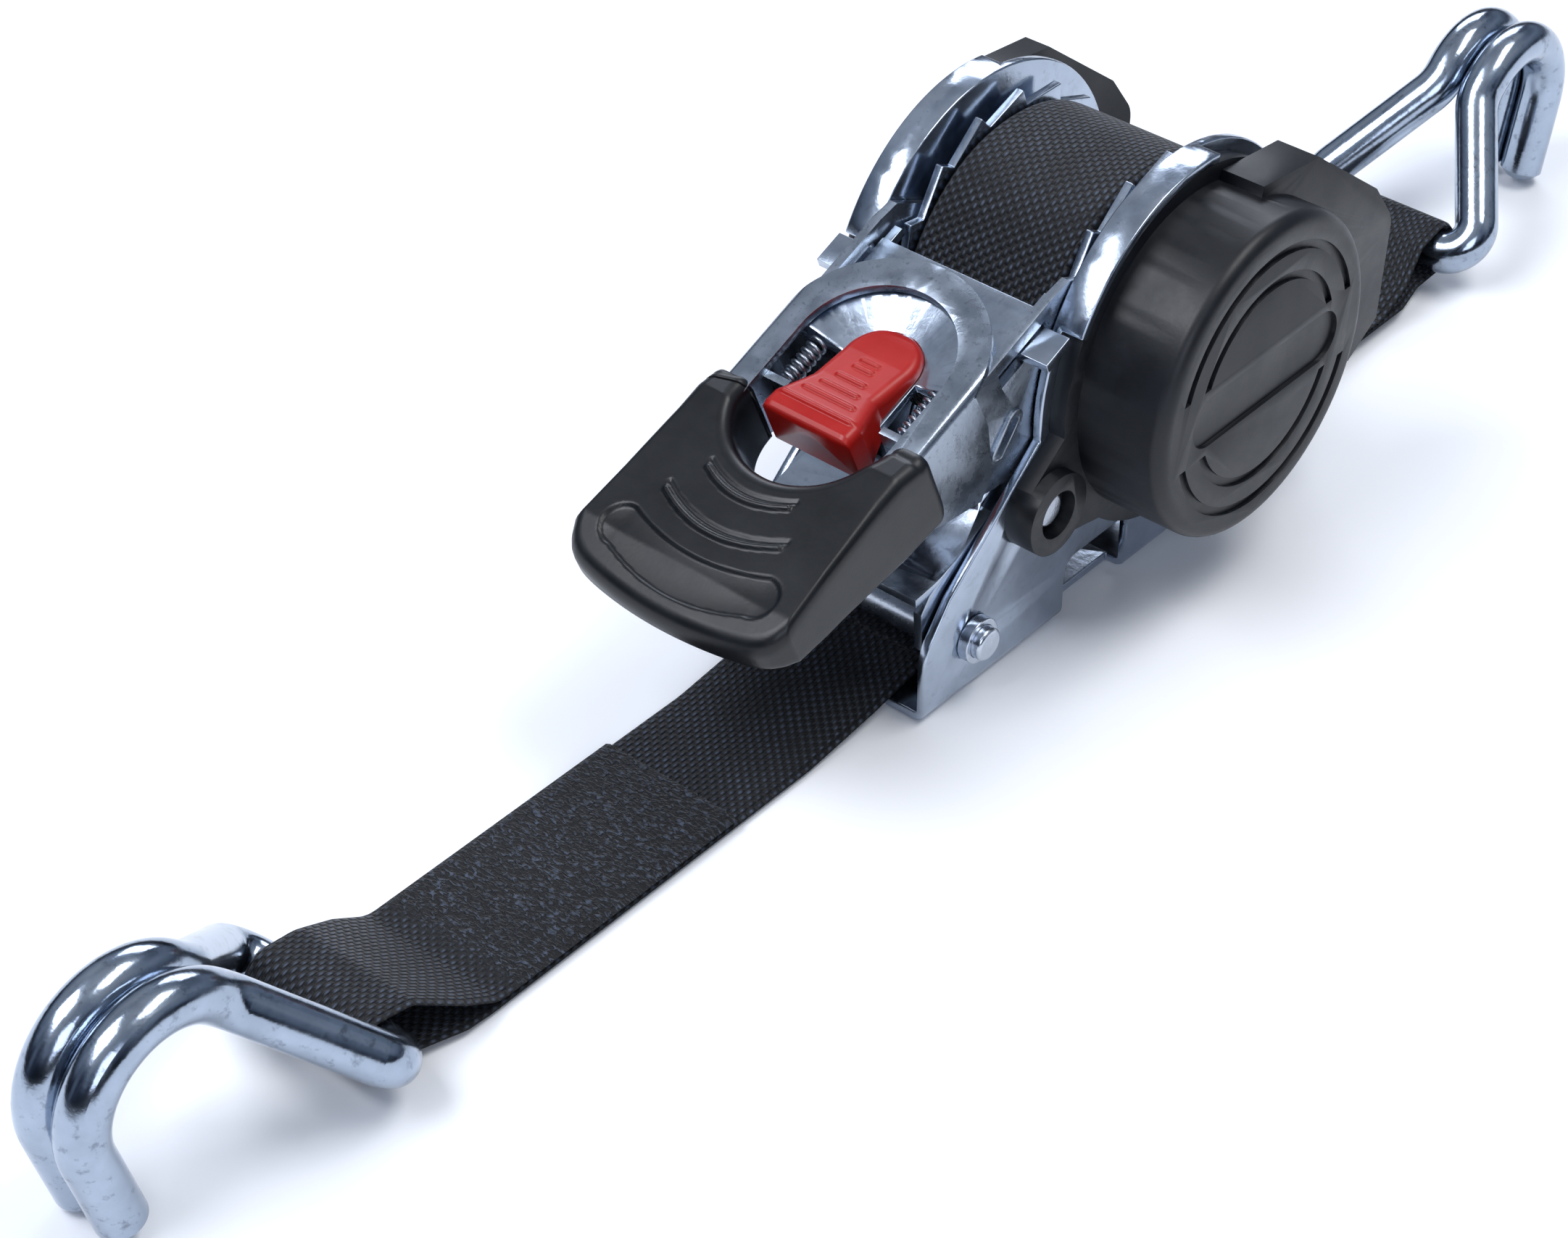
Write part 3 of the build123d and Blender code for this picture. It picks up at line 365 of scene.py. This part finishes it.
def woven_polyester(name, sewn_from=None):
    """Polyester webbing: lengthwise cords, each bound down at every pick, one cord against the next by half
    a pick, so the face is a brick pattern of small floats over a near-black ground, the crown of each float
    given a painted highlight in a paler blue-grey for the sheen of the yarn. Where the strap is sewn back on
    itself, from sewn_from metres along it, short back-tacked threads cross the weave and take the same
    painted highlight."""
    sizes, colours = bpy.context.scene.tie_down_sizes, bpy.context.scene.tie_down_colours
    material, tree, shader = new_material(name, Roughness=0.6, IOR=1.45, Sheen_Weight=0.12,
                                          Sheen_Roughness=0.4, Specular_IOR_Level=0.35)
    uv = add(tree, "ShaderNodeUVMap", uv_map="weave").outputs["UV"]
    place = add(tree, "ShaderNodeSeparateXYZ", {"Vector": uv})

    def maths(operation, a, b=0.0):
        return add(tree, "ShaderNodeMath", {0: a, 1: b}, operation=operation).outputs[0]

    cords = maths("DIVIDE", place.outputs["X"], sizes.cord_pitch)
    number = maths("FLOOR", cords)
    stagger = maths("MULTIPLY", maths("MODULO", number, 2.0), 0.5)
    picks = maths("ADD", maths("DIVIDE", place.outputs["Y"], sizes.pick_pitch), stagger)
    round_cord = maths("SINE", maths("MULTIPLY", maths("FRACT", cords), math.pi))
    round_pick = maths("SINE", maths("MULTIPLY", maths("FRACT", picks), math.pi))
    height = maths("MULTIPLY", maths("POWER", round_cord, 0.8), maths("POWER", round_pick, 0.9))
    if sewn_from is not None:
        squeezed = add(tree, "ShaderNodeMapping", {"Vector": uv, "Scale": (1.0, 1.9, 1.0)}).outputs["Vector"]
        thread = add(tree, "ShaderNodeTexNoise", {"Vector": squeezed, "Scale": 900.0, "Detail": 2.0,
                                                  "Roughness": 0.5, "Distortion": 0.8}).outputs["Fac"]
        tacks = add(tree, "ShaderNodeMapRange", {"Value": thread, "From Min": 0.42,
                                                 "From Max": 0.62}).outputs["Result"]
        sewn = add(tree, "ShaderNodeMapRange", {"Value": place.outputs["Y"], "From Min": sewn_from,
                                                "From Max": sewn_from + 0.004}).outputs["Result"]
        plain = maths("SUBTRACT", 1.0, maths("MULTIPLY", sewn, 0.75))
        sewing = maths("MULTIPLY", tacks, maths("MULTIPLY", sewn, 0.8))
        height = maths("ADD", maths("MULTIPLY", height, plain), sewing)
    broad = add(tree, "ShaderNodeTexNoise", {"Vector": uv, "Scale": 160.0, "Detail": 4.0,
                                             "Roughness": 0.75}).outputs["Fac"]
    lively = add(tree, "ShaderNodeMapRange", {"Value": broad, "From Min": 0.35, "From Max": 0.65,
                                              "To Min": 0.72, "To Max": 1.05}).outputs["Result"]
    # Painted highlight: the higher the weave, the paler the colour, so the crowns of the floats and of the
    # sewing threads get a blue-grey sheen painted in (#11151c to #424b5b). Broad noise varies its strength at
    # random. The ground colour is the yarn's own.
    painted_float_highlight = maths("MULTIPLY", height, lively)
    ground = (*colours.webbing, 1.0)
    tree.links.new(ramp(tree, painted_float_highlight, [(0.35, ground), (0.62, linear("#11151c")), (0.98, linear("#424b5b"))]),
                   shader.inputs["Base Color"])
    bump = add(tree, "ShaderNodeBump", {"Height": height, "Strength": 1.0, "Distance": 0.00028})
    tree.links.new(bump.outputs["Normal"], shader.inputs["Normal"])
    return material


FINISH = {}


def make_finishes():
    """One material for each real finish, named for it."""
    FINISH["sheet"] = zinc_sheet("zinc_plated_sheet", "#b2bdcc", 0.2, 0.25, 700)
    FINISH["arm"] = zinc_sheet("zinc_plated_arm", "#a3adba", 0.27, 0.55, 1100)
    FINISH["wire"] = zinc_sheet("zinc_plated_wire", "#a6b2c2", 0.16, 0.6, 620)
    FINISH["turned"] = zinc_sheet("turned_steel", "#cbd3df", 0.24, 0.12, 1500)
    FINISH["spring"] = zinc_sheet("drawn_spring_steel", "#a7adb7", 0.3, 0.2, 1300)
    FINISH["cover"] = moulded_plastic("moulded_black_nylon", "#080a0f", 0.42, 0.00002, 0.0005, "#11151c")
    FINISH["grip"] = moulded_plastic("moulded_black_rubber", "#06080b", 0.34, 0.00002, 0.0006, "#0c0f15")
    FINISH["red"] = moulded_plastic("moulded_red_acetal", "#9c120d", 0.34, 0.00002, 0.0007, "#ab2018")
    FINISH["weave"] = woven_polyester("woven_black_polyester")


# ================================================================== operators
class TIEDOWN_OT_stage(bpy.types.Operator):
    """Pale floor, soft studio light and the camera"""
    bl_idname = "tiedown.stage"
    bl_label = "Stage"

    def execute(self, context):
        make_finishes()
        azimuth, elevation, distance = math.radians(-49.2), math.radians(38.57), 0.52808
        back = np.array([math.sin(azimuth) * math.cos(elevation), -math.cos(azimuth) * math.cos(elevation),
                         math.sin(elevation)])
        camera = bpy.data.objects.new("camera", bpy.data.cameras.new("camera"))
        camera.data.sensor_width = 36.0
        camera.data.lens = 81.265
        camera.data.clip_start, camera.data.clip_end = 0.02, 20.0
        place = np.array([-0.04991, 0.01323, 0.0]) + back * distance
        camera.location = place.tolist()
        camera.rotation_euler = Vector((-back).tolist()).to_track_quat("-Z", "Y").to_euler()
        context.scene.collection.objects.link(camera)
        context.scene.camera = camera

        floor_material, tree, shader = new_material("painted_studio_floor", Roughness=0.9)
        where = add(tree, "ShaderNodeTexCoord").outputs["Object"]
        soft = add(tree, "ShaderNodeTexNoise", {"Vector": where, "Scale": 3.0, "Detail": 2.0}).outputs["Fac"]
        tree.links.new(ramp(tree, soft, [(0.3, linear("#f4f6f9")), (0.7, linear("#fbfcfe"))]),
                       shader.inputs["Base Color"])
        u, v = np.meshgrid(np.linspace(-4, 4, 9), np.linspace(-4, 4, 9), indexing="ij")
        mesh = bpy.data.meshes.new("floor")
        points = np.stack([u, v, np.full_like(u, -0.0002)], axis=-1)
        index = np.arange(64)
        a = (index // 8) * 9 + index % 8
        mesh.from_pydata(points.reshape(-1, 3).tolist(), [], np.stack([a, a + 9, a + 10, a + 1], -1).tolist())
        mesh.materials.append(floor_material)
        floor = bpy.data.objects.new("floor", mesh)
        context.scene.collection.objects.link(floor)

        context.scene.view_settings.view_transform = "Standard"
        world = context.scene.world or bpy.data.worlds.new("studio")
        context.scene.world = world
        world.use_nodes = True
        sky = world.node_tree.nodes["Background"]
        tree = world.node_tree
        way = add(tree, "ShaderNodeTexCoord").outputs["Generated"]
        height = add(tree, "ShaderNodeSeparateXYZ", {"Vector": way}).outputs["Z"]
        walls = add(tree, "ShaderNodeTexNoise", {"Vector": way, "Scale": 1.6, "Detail": 1.0}).outputs["Fac"]
        spread = add(tree, "ShaderNodeMapRange", {"Value": walls, "From Min": 0.35, "From Max": 0.65,
                                                  "To Min": -0.22, "To Max": 0.22}).outputs["Result"]
        level = add(tree, "ShaderNodeMath", {0: height, 1: spread}, operation="ADD").outputs[0]
        room = ramp(tree, level, [(0.02, linear("#1b222d")), (0.25, linear("#46536a")),
                                  (0.5, linear("#a5b4cb")), (0.85, linear("#e8eef8"))])
        tree.links.new(room, sky.inputs["Color"])
        sky.inputs["Strength"].default_value = 0.55
        lamps = [("key", (-0.55, 0.25, 0.85), (0.6, 0.45), 7.0, "#f4f7ff"),
                 ("front", (-0.75, -0.75, 0.55), (0.5, 0.5), 2.4, "#eaf0ff"),
                 ("top", (0.25, -0.35, 1.0), (0.7, 0.35), 5.2, "#ffffff"),
                 ("back", (0.75, 0.55, 0.6), (0.6, 0.4), 3.8, "#eef3ff")]
        for name, spot, size, watts, code in lamps:
            light = bpy.data.lights.new(name, "AREA")
            light.shape = "RECTANGLE"
            light.size, light.size_y = size
            light.energy = watts
            light.color = linear(code)[:3]
            lamp = bpy.data.objects.new(name, light)
            lamp.location = spot
            lamp.rotation_euler = Vector([-c for c in spot]).to_track_quat("-Z", "Y").to_euler()
            context.scene.collection.objects.link(lamp)
        return {"FINISHED"}


def eased(node, name, finish, body, slot, width, flats=False, angle=32.0):
    """A copy of a CAD piece with its loose triangles merged and its sharp edges eased by a small round, so
    that the edges of pressed sheet catch the light. It stands for the CAD piece and rides on its body. flats
    weights the shading by area, for pieces whose large faces are all flat."""
    mesh = frame["nodes"][node].data.copy()
    mesh.name = name
    mesh.materials.clear()
    mesh.materials.append(FINISH[finish])
    work = bmesh.new()
    work.from_mesh(mesh)
    bmesh.ops.remove_doubles(work, verts=work.verts, dist=2e-6)
    bmesh.ops.dissolve_limit(work, angle_limit=math.radians(0.6), verts=work.verts, edges=work.edges,
                             use_dissolve_boundaries=False)
    for face in work.faces:
        face.smooth = True
    work.to_mesh(mesh)
    work.free()
    mesh.update()
    piece = bpy.data.objects.new(name, mesh)
    bpy.context.scene.collection.objects.link(piece)
    edge = piece.modifiers.new("eased_edges", "BEVEL")
    edge.width, edge.segments, edge.limit_method = width, 2, "ANGLE"
    edge.angle_limit = math.radians(angle)
    edge.use_clamp_overlap = True
    edge.miter_outer = "MITER_ARC"
    edge.harden_normals = not flats
    if flats:
        level = piece.modifiers.new("level_faces", "WEIGHTED_NORMAL")
        level.keep_sharp, level.weight = True, 60
    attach(piece, body)
    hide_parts(node)
    return piece


class TIEDOWN_OT_steelwork(bpy.types.Operator):
    """Finishes of the pressed, turned and wound steel pieces and of the covers"""
    bl_idname = "tiedown.steelwork"
    bl_label = "Steelwork and covers"

    def execute(self, context):
        finish_of = {
            "sheet": ["frame", "ratchet_wheel_near", "ratchet_wheel_far", "pawl_plate", "lock_pawl",
                      "spring_case"],
            "arm": ["handle_frame"],
            "wire": ["near_hook", "far_hook"],
            "turned": ["axle_bush_near", "axle_bush_far", "front_pin", "pin_rings", "pin_sleeve", "rear_pin",
                       "cover_rivet_near", "cover_rivet_far", "axle_half_upper", "axle_half_lower",
                       "spring_arbor", "tab_rivet"],
            "spring": ["power_spring", "pawl_springs", "lock_springs"],
            "cover": ["near_cover", "far_cover"],
            "grip": ["handle_grip"],
            "red": ["release_tab"],
        }
        for finish, names in finish_of.items():
            for name in names:
                piece = frame["nodes"][name]
                piece.data.materials.clear()
                piece.data.materials.append(FINISH[finish])
        for settings in (
                ("frame", "pressed_channel", "sheet", "frame", "zinc_steel", 0.00028),
                ("handle_frame", "pressed_handle", "arm", "handle", "zinc_steel", 0.0003),
                ("pawl_plate", "pressed_pawl", "sheet", "pawl", "zinc_steel", 0.00025),
                ("lock_pawl", "pressed_lock_pawl", "sheet", "lock_pawl", "zinc_steel", 0.00025),
                ("ratchet_wheel_near", "near_wheel", "sheet", "drum", "zinc_steel", 0.0002),
                ("ratchet_wheel_far", "far_wheel", "sheet", "drum", "zinc_steel", 0.0002),
                ("front_pin", "stepped_front_pin", "turned", "frame", "steel_pin", 0.0002, True),
                ("pin_rings", "front_pin_rings", "turned", "frame", "steel_pin", 0.0002, True),
                ("rear_pin", "headed_rear_pin", "turned", "frame", "steel_pin", 0.0002, True),
                ("near_cover", "near_cover_shell", "cover", "frame", "cover_plastic", 0.0004),
                ("far_cover", "far_cover_shell", "cover", "frame", "cover_plastic", 0.0004, True)):
            eased(*settings)
        return {"FINISHED"}


def rib(u, y, crest, bow, half_length, half_width, height):
    """A raised rib across the handle: its line is the parabola u = crest - bow y^2, its height falls off as
    a cosine over half_width, and its ends are round."""
    over = np.maximum(np.abs(y) - half_length, 0)
    away = np.hypot((u - (crest - bow * np.clip(y, -half_length, half_length) ** 2)), over)
    return height * np.cos(np.clip(away / half_width, 0, 1) * math.pi / 2) ** 0.8


class TIEDOWN_OT_grip(bpy.types.Operator):
    """Rubber grip on the end of the handle, with its two ribs and its thumb hollow"""
    bl_idname = "tiedown.grip"
    bl_label = "Grip"

    def execute(self, context):
        angle = np.radians(np.linspace(-88, 88, 261))
        inner = np.stack([50.4 + 12.3 * np.cos(angle), 12.3 * np.sin(angle)], axis=-1)
        bend = np.linspace(-19.6, 19.6, 41)
        corners = np.array([(50.9, -18.6), (60.0, -18.5), (72.0, -18.9), (81.5, -19.5)])
        end = np.stack([88.2 - 3.0 * (bend / 19.6) ** 2 - 3.6 * (np.abs(bend) / 19.6) ** 14, bend], axis=-1)
        line = np.vstack([corners, end, corners[::-1] * (1, -1)])
        length = np.concatenate([[0], np.cumsum(np.linalg.norm(np.diff(line, axis=0), axis=1))])
        length /= length[-1]
        t = np.linspace(0, 1, 261)
        t = t - 0.012 * np.sin(2 * math.pi * t)
        outer = np.stack([np.interp(t, length, line[:, 0]), np.interp(t, length, line[:, 1])], axis=-1)

        def top(u, y):
            return np.interp(u, [50, 51.5, 55, 80, 88.5], [29.2, 30.3, 31.3, 31.2, 29.4])

        def low(u, y):
            return np.interp(u, [50, 59, 76, 85.5, 88.5], [16.2, 17.2, 21.6, 24.6, 25.6])

        def relief(u, y):
            first = rib(u, y, 67.8, 0.0375, 7.2, 0.62, 0.55) - rib(u, y, 66.7, 0.0375, 7.6, 0.5, 0.25)
            second = rib(u, y, 74.4, 0.027, 10.2, 0.62, 0.55) - rib(u, y, 73.3, 0.027, 10.6, 0.5, 0.25)
            over = np.maximum(np.abs(y) - 12.2, 0)
            away = np.hypot(u - (81.6 - 0.0166 * np.clip(y, -12.2, 12.2) ** 2), over)
            hollow = smooth_step(away, 3.05, 3.45)
            return first + second - 0.65 * (1 - hollow) * (1 - 0.35 * (away / 3.4) ** 2)

        points = banded(inner, outer, top, low, 2.1, 1.0, 74, relief, (2.2, 2.2))
        grip = grid_object("rubber_grip", points, FINISH["grip"], "handle",
                           False, True, None, True)
        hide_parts("handle_grip")
        return {"FINISHED"}


class TIEDOWN_OT_release_tab(bpy.types.Operator):
    """Red release tab: a round head that rises to a square block, with cross ribs for the fingertip"""
    bl_idname = "tiedown.release_tab"
    bl_label = "Release tab"

    def execute(self, context):
        phi = np.linspace(0.06, math.pi / 2, 40)
        u = np.concatenate([37.5 - 6.0 * np.cos(phi), np.linspace(37.7, 53.35, 110)])
        half = np.where(u < 37.5, np.sqrt(np.clip(36 - (u - 37.5) ** 2, 0.02, None)),
                        np.interp(u, [37.5, 42.0, 45.0, 49.0, 50.5, 53.4], [6.0, 5.9, 5.85, 7.2, 7.8, 7.8]))
        inner, outer = np.stack([u, -half], axis=-1), np.stack([u, half], axis=-1)

        def top(u, y):
            rise = np.interp(u, [31.4, 34, 38, 44, 50.2, 52.6, 53.4],
                             [26.3, 26.9, 27.6, 29.2, 31.2, 31.5, 31.2])
            nose = np.clip(u - 31.5, 0, 1.8)
            return rise - 1.8 + np.sqrt(np.clip(1.8 ** 2 - (1.8 - nose) ** 2, 0, None))

        def low(u, y):
            return np.interp(u, [31, 46.0, 46.4, 54], [25.2, 25.2, 22.8, 22.6])

        def relief(u, y):
            total = rib(u, y, 39.2, 0, 1.3, 0.5, 0.4)
            for crest, reach in ((40.7, 1.4), (43.3, 2.2), (45.6, 3.0), (47.8, 4.2), (50.3, 6.0)):
                total = total + rib(u, y, crest, 0, reach, 0.55, 0.4)
            return total

        points = banded(inner, outer, top, low, 1.5, 0.3, 60, relief)
        tab = grid_object("red_tab", points, FINISH["red"], "pawl", False, True, None, True)
        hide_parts("release_tab")
        return {"FINISHED"}


class TIEDOWN_OT_coils(bpy.types.Operator):
    """The two compression springs that push the handle's pawl on to the ratchet wheels"""
    bl_idname = "tiedown.coils"
    bl_label = "Pawl springs"

    def execute(self, context):
        node = frame["nodes"]["pawl_springs"]
        flat = np.empty(len(node.data.vertices) * 3)
        node.data.vertices.foreach_get("co", flat)
        place = flat.reshape(-1, 3) - AXLE
        u, y, w = place @ ALONG, place @ ACROSS, place @ SQUARE
        start, end = u.min(), u.max()
        level, reach = (w.min() + w.max()) / 2, (w.max() - w.min()) / 2
        wire, turns = 0.0003, 7
        coil = reach - 0.0006 - wire
        theta = np.linspace(0, 2 * math.pi * turns, turns * 26)
        phi = np.linspace(0, 2 * math.pi, 9)[:-1]
        run = start + wire + (end - start - 2 * wire) * theta / theta[-1]
        out = coil + wire * np.cos(phi)
        for name, side in (("near_pawl_coil", -1), ("far_pawl_coil", 1)):
            middle = y[y * side > 0]
            centre = (middle.min() + middle.max()) / 2
            points = handle_point(run[:, None] + wire * np.sin(phi)[None, :],
                                  centre + out[None, :] * np.cos(theta)[:, None],
                                  level + out[None, :] * np.sin(theta)[:, None])
            piece = grid_object(name, points, FINISH["spring"], "handle",
                                False, True, None, True)
            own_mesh(piece)
            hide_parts("pawl_springs")
        return {"FINISHED"}


class TIEDOWN_OT_roll(bpy.types.Operator):
    """Webbing wound on the drum, and the stretch of it inside the channel"""
    bl_idname = "tiedown.roll"
    bl_label = "Wound webbing"

    def execute(self, context):
        sizes = context.scene.tie_down_sizes
        half, radius = sizes.strap_width / 2, sizes.roll_radius
        turn, section = 256, 60
        angle = np.linspace(0, 2 * math.pi, turn, endpoint=False)
        t = np.linspace(0, 2 * math.pi, section, endpoint=False)
        inner, radius = 0.0065, radius - 0.0010
        depth = (radius - inner) / 2
        across = np.sign(np.cos(t)) * np.abs(np.cos(t)) ** 0.12 * half
        out = np.sign(np.sin(t)) * np.abs(np.sin(t)) ** 0.12
        lump = 0.00012 * np.sin(3 * angle + 0.7) + 0.00008 * np.sin(7 * angle)
        r = inner + depth + out[None, :] * (depth + 0 * angle[:, None]) + lump[:, None] * (out[None, :] > 0)
        points = np.stack([AXLE[0] + r * np.cos(angle)[:, None],
                           np.broadcast_to(across, r.shape),
                           AXLE[2] + r * np.sin(angle)[:, None]], axis=-1)
        run = angle[:, None] * radius
        uv = np.stack([np.broadcast_to(across + half, r.shape), np.broadcast_to(run, r.shape)], axis=-1)
        roll = grid_object("wound_webbing", points, FINISH["weave"], "drum", True, True, uv)
        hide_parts("webbing_roll")

        low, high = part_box("webbing_lead")
        path = smooth_path([(high[0], high[2] - 0.0005), (-0.040, low[2] + 0.0014),
                            (low[0], low[2] + 0.0005)], 0.02, 0.0006)
        points, uv = strap_grid(path, half, sizes.strap_thickness)
        lead = grid_object("lead_webbing", points, FINISH["weave"], "frame", False, True, uv, True)
        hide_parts("webbing_lead")

        low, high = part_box("webbing_tuck")
        middle = (low[2] + high[2]) / 2
        path = even(np.array([(low[0], middle), (high[0], middle)]), 0.0006)
        points, uv = strap_grid(path, (high[1] - low[1]) / 2, high[2] - low[2])
        tuck = grid_object("tuck_webbing", points, FINISH["weave"], "drum", False, True, uv, True)
        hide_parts("webbing_tuck")
        return {"FINISHED"}


def eye_path(bar, side, radius, steps=40):
    """Round a hook's bar: an arc of the given radius from under the bar, over the hook's side, to the top."""
    angle = np.linspace(-math.pi / 2, math.pi / 2, steps)
    return np.stack([bar[0] + side * radius * np.cos(angle), bar[2] + radius * np.sin(angle)], axis=-1)


def eye_width(path, bar):
    """Half width along a strap's path: full, and gathered where it goes round a hook's bar."""
    return np.interp(np.abs(path[:, 0] - bar[0]), [0.0, 0.006, 0.013], [EYE_HALF, 0.0108, FULL_HALF])


def run_length(path):
    """Length of a polyline."""
    return float(np.linalg.norm(np.diff(path, axis=0), axis=1).sum())


class TIEDOWN_OT_pull_strap(bpy.types.Operator):
    """Pull-out end of the webbing, folded round the near hook's bar and sewn back on itself"""
    bl_idname = "tiedown.pull_strap"
    bl_label = "Pull-out strap"

    def execute(self, context):
        sizes = context.scene.tie_down_sizes
        t = sizes.strap_thickness
        low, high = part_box("pull_strap")
        bar = NEAR_BAR
        ring = EYE_RADIUS
        floor_z = low[2] + t / 2
        start = (high[0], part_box("webbing_lead")[0][2] + t / 2)
        lower = smooth_path([start, (-0.060, 0.0022), (-0.074, floor_z), (-0.138, floor_z),
                             (bar[0], bar[2] - ring)], 0.02, STEP)
        eye = eye_path(bar, -1, ring)
        end = low[0] + FOLD_BACK
        upper = smooth_path([(bar[0], bar[2] + ring), (bar[0] + 0.0055, bar[2] + ring - 0.0009),
                             (bar[0] + 0.019, floor_z + t), (end, floor_z + t)], 0.006, STEP)
        path = even(np.vstack([lower, eye[1:], upper[1:]]), STEP)
        points, uv = strap_grid(path, eye_width(path, bar), t * 0.96)
        round_bar = np.linalg.norm(np.diff(path, axis=0), axis=1)[path[1:, 0] < bar[0] + 0.001].sum()
        sewn_from = float(round_bar) + run_length(lower) + SEWING_OFFSET
        FINISH["sewn"] = woven_polyester("sewn_black_polyester", sewn_from)
        strap = grid_object("pull_webbing", points, FINISH["sewn"], None, False, True, uv, True)
        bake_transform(strap)
        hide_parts("pull_strap", "pull_stitching")
        return {"FINISHED"}


class TIEDOWN_OT_short_strap(bpy.types.Operator):
    """Short strap between the rear pin and the far hook, with a sewn eye at each end"""
    bl_idname = "tiedown.short_strap"
    bl_label = "Short strap"

    def execute(self, context):
        sizes = context.scene.tie_down_sizes
        t = sizes.strap_thickness
        bar, pin = FAR_BAR, REAR_PIN
        ring = EYE_RADIUS
        low_z = bar[2] - ring
        pin_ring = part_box("short_strap")[0][0]
        pin_reach = pin[0] - pin_ring - t / 2
        upper_end = bar[0] - 0.034
        top = smooth_path([(upper_end, low_z + t), (bar[0] - 0.019, low_z + t),
                           (bar[0] - 0.0055, bar[2] + ring - 0.0009), (bar[0], bar[2] + ring)], 0.006, STEP)
        eye = eye_path(bar, 1, ring)[::-1]
        under = smooth_path([(bar[0], low_z), (0.050, low_z), (pin[0], pin[2] - pin_reach)], 0.012, STEP)
        angle = np.linspace(-math.pi / 2, -1.5 * math.pi, 40)
        pin_eye = np.stack([pin[0] + pin_reach * np.cos(angle), pin[2] + pin_reach * np.sin(angle)], axis=-1)
        back = smooth_path([(pin[0], pin[2] + pin_reach), (0.040, 0.0106), (0.050, 0.0046),
                            (0.0565, low_z + t)], 0.006, STEP)
        path = even(np.vstack([top, eye[1:], under[1:], pin_eye[1:], back[1:]]), STEP)
        points, uv = strap_grid(path, eye_width(path, bar), t * 0.96)
        strap = grid_object("short_webbing", points, FINISH["weave"], "short_strap",
                            False, True, uv, True)
        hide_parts("short_strap", "short_stitching")
        return {"FINISHED"}


class TIEDOWN_PT_panel(bpy.types.Panel):
    """Lists the steps of the tie down"""
    bl_label = "Ratchet tie down"
    bl_space_type = "VIEW_3D"
    bl_region_type = "UI"
    bl_category = "Tie down"

    def draw(self, context):
        for step in STEPS:
            self.layout.operator(step.bl_idname)


STEPS = [TIEDOWN_OT_stage, TIEDOWN_OT_steelwork, TIEDOWN_OT_grip, TIEDOWN_OT_release_tab,
         TIEDOWN_OT_coils, TIEDOWN_OT_roll, TIEDOWN_OT_pull_strap, TIEDOWN_OT_short_strap]
CLASSES = [TieDownSizes, TieDownColours, *STEPS, TIEDOWN_PT_panel]


def register():
    for each in CLASSES:
        bpy.utils.register_class(each)
    bpy.types.Scene.tie_down_sizes = PointerProperty(type=TieDownSizes)
    bpy.types.Scene.tie_down_colours = PointerProperty(type=TieDownColours)


def unregister():
    del bpy.types.Scene.tie_down_colours
    del bpy.types.Scene.tie_down_sizes
    for each in reversed(CLASSES):
        bpy.utils.unregister_class(each)


def main():
    register()
    for step in STEPS:
        group, name = step.bl_idname.split(".")
        getattr(getattr(bpy.ops, group), name)()


if __name__ == "__main__":
    main()
